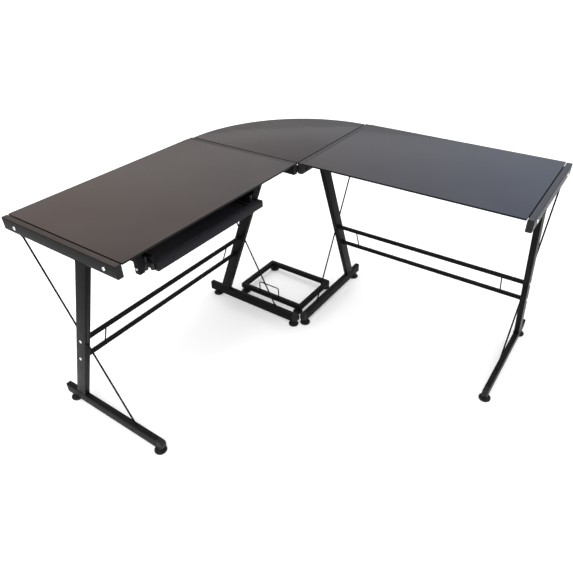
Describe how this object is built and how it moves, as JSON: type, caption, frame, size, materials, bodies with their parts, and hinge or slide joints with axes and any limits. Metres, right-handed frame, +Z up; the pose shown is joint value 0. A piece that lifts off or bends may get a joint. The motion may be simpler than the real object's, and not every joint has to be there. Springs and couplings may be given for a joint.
{
  "type": "corner computer desk",
  "caption": "L-shaped corner desk with smoked glass tops, black steel tube frames, a sliding keyboard tray and a loose floor stand for the computer case.",
  "frame": {"origin": "on the floor under the middle of the outline's bounding box", "axes": "+Z up; the left wing runs along -Y with its front facing +X, the right wing runs along +X with its front facing -Y, and the corner between their backs points to -X +Y"},
  "size_m": [1.3336, 1.3336, 0.737],
  "materials": {
    "black_powder_coat": "satin black powder coat with a fine texture",
    "smoked_glass": "polished, very dark smoked safety glass with ground edges",
    "zinc_steel": "zinc-plated, lightly brushed",
    "bolt_steel": "bright nickel-plated bolt heads",
    "black_plastic": "moulded, finely grained",
    "black_tray_board": "black satin coating, slightly cool"
  },
  "bodies": {
    "desk": {"corner_bracket": "black_powder_coat", "corner_glass": "smoked_glass", "left_corner_ledge": "black_powder_coat", "left_end_arm": "black_powder_coat", "left_end_brace": "black_powder_coat", "left_end_foot_bar": "black_powder_coat", "left_end_ledge": "black_powder_coat", "left_end_post": "black_powder_coat", "left_fixed_slide": "black_powder_coat", "left_front_arm_bolt": "bolt_steel", "left_glass": "smoked_glass", "left_inner_arm": "black_powder_coat", "left_inner_brace": "black_powder_coat", "left_inner_foot_bar": "black_powder_coat", "left_inner_ledge": "black_powder_coat", "left_inner_post": "black_powder_coat", "left_rear_arm_bolt": "bolt_steel", "left_stretcher": "black_powder_coat", "right_corner_ledge": "black_powder_coat", "right_end_arm": "black_powder_coat", "right_end_brace": "black_powder_coat", "right_end_foot_bar": "black_powder_coat", "right_end_ledge": "black_powder_coat", "right_end_post": "black_powder_coat", "right_fixed_slide": "black_powder_coat", "right_front_arm_bolt": "bolt_steel", "right_glass": "smoked_glass", "right_inner_arm": "black_powder_coat", "right_inner_brace": "black_powder_coat", "right_inner_foot_bar": "black_powder_coat", "right_inner_ledge": "black_powder_coat", "right_inner_post": "black_powder_coat", "right_rear_arm_bolt": "bolt_steel", "right_stretcher": "black_powder_coat", "tray_front_rail": "black_powder_coat", "tray_left_front_hanger": "black_powder_coat", "tray_left_rear_hanger": "black_powder_coat", "tray_rear_rail": "black_powder_coat", "tray_right_front_hanger": "black_powder_coat", "tray_right_rear_hanger": "black_powder_coat"},
    "tray": {"keyboard_tray": "black_tray_board", "left_moving_slide": "black_powder_coat", "right_moving_slide": "black_powder_coat"},
    "slide_middles": {"left_middle_slide": "zinc_steel", "right_middle_slide": "zinc_steel"},
    "stand": {"stand_ring": "black_powder_coat", "stand_guard": "black_powder_coat"},
    "left_end_front_leveller": {"left_end_front_leveller": "black_plastic"},
    "left_end_rear_leveller": {"left_end_rear_leveller": "black_plastic"},
    "left_inner_front_leveller": {"left_inner_front_leveller": "black_plastic"},
    "left_inner_rear_leveller": {"left_inner_rear_leveller": "black_plastic"},
    "right_end_front_leveller": {"right_end_front_leveller": "black_plastic"},
    "right_end_rear_leveller": {"right_end_rear_leveller": "black_plastic"},
    "right_inner_front_leveller": {"right_inner_front_leveller": "black_plastic"},
    "right_inner_rear_leveller": {"right_inner_rear_leveller": "black_plastic"},
    "stand_back_left_leveller": {"stand_back_left_leveller": "black_plastic"},
    "stand_back_right_leveller": {"stand_back_right_leveller": "black_plastic"},
    "stand_front_left_leveller": {"stand_front_left_leveller": "black_plastic"},
    "stand_front_right_leveller": {"stand_front_right_leveller": "black_plastic"}
  },
  "joints": [
    {"name": "tray_slide", "type": "slide", "parent": "desk", "child": "tray", "axis": [1, 0, 0], "range_m": [0, 0.25]},
    {"name": "slide_middles_slide", "type": "slide", "parent": "desk", "child": "slide_middles", "axis": [1, 0, 0], "range_m": [0, 0.125]},
    {"name": "stand_lift", "type": "slide", "parent": "desk", "child": "stand", "axis": [0, 0, 1], "range_m": [0, 0.25]},
    {"name": "left_end_front_leveller_turn", "type": "hinge", "parent": "desk", "child": "left_end_front_leveller", "pos_m": [-0.17475, -0.64525, 0], "axis": [0, 0, 1], "continuous": true},
    {"name": "left_end_rear_leveller_turn", "type": "hinge", "parent": "desk", "child": "left_end_rear_leveller", "pos_m": [-0.61175, -0.64525, 0], "axis": [0, 0, 1], "continuous": true},
    {"name": "left_inner_front_leveller_turn", "type": "hinge", "parent": "desk", "child": "left_inner_front_leveller", "pos_m": [-0.18375, 0.14775, 0], "axis": [0, 0, 1], "continuous": true},
    {"name": "left_inner_rear_leveller_turn", "type": "hinge", "parent": "desk", "child": "left_inner_rear_leveller", "pos_m": [-0.61175, 0.14775, 0], "axis": [0, 0, 1], "continuous": true},
    {"name": "right_end_front_leveller_turn", "type": "hinge", "parent": "desk", "child": "right_end_front_leveller", "pos_m": [0.64525, 0.17475, 0], "axis": [0, 0, 1], "continuous": true},
    {"name": "right_end_rear_leveller_turn", "type": "hinge", "parent": "desk", "child": "right_end_rear_leveller", "pos_m": [0.64525, 0.61175, 0], "axis": [0, 0, 1], "continuous": true},
    {"name": "right_inner_front_leveller_turn", "type": "hinge", "parent": "desk", "child": "right_inner_front_leveller", "pos_m": [-0.14775, 0.18375, 0], "axis": [0, 0, 1], "continuous": true},
    {"name": "right_inner_rear_leveller_turn", "type": "hinge", "parent": "desk", "child": "right_inner_rear_leveller", "pos_m": [-0.14775, 0.61175, 0], "axis": [0, 0, 1], "continuous": true},
    {"name": "stand_back_left_leveller_turn", "type": "hinge", "parent": "stand", "child": "stand_back_left_leveller", "pos_m": [-0.51175, 0.45775, 0], "axis": [0, 0, 1], "continuous": true},
    {"name": "stand_back_right_leveller_turn", "type": "hinge", "parent": "stand", "child": "stand_back_right_leveller", "pos_m": [-0.21675, 0.45775, 0], "axis": [0, 0, 1], "continuous": true},
    {"name": "stand_front_left_leveller_turn", "type": "hinge", "parent": "stand", "child": "stand_front_left_leveller", "pos_m": [-0.51175, 0.22875, 0], "axis": [0, 0, 1], "continuous": true},
    {"name": "stand_front_right_leveller_turn", "type": "hinge", "parent": "stand", "child": "stand_front_right_leveller", "pos_m": [-0.21675, 0.22875, 0], "axis": [0, 0, 1], "continuous": true}
  ],
  "couplings": [
    {"joint": "slide_middles_slide", "follows": "tray_slide", "ratio": 0.5}
  ]
}
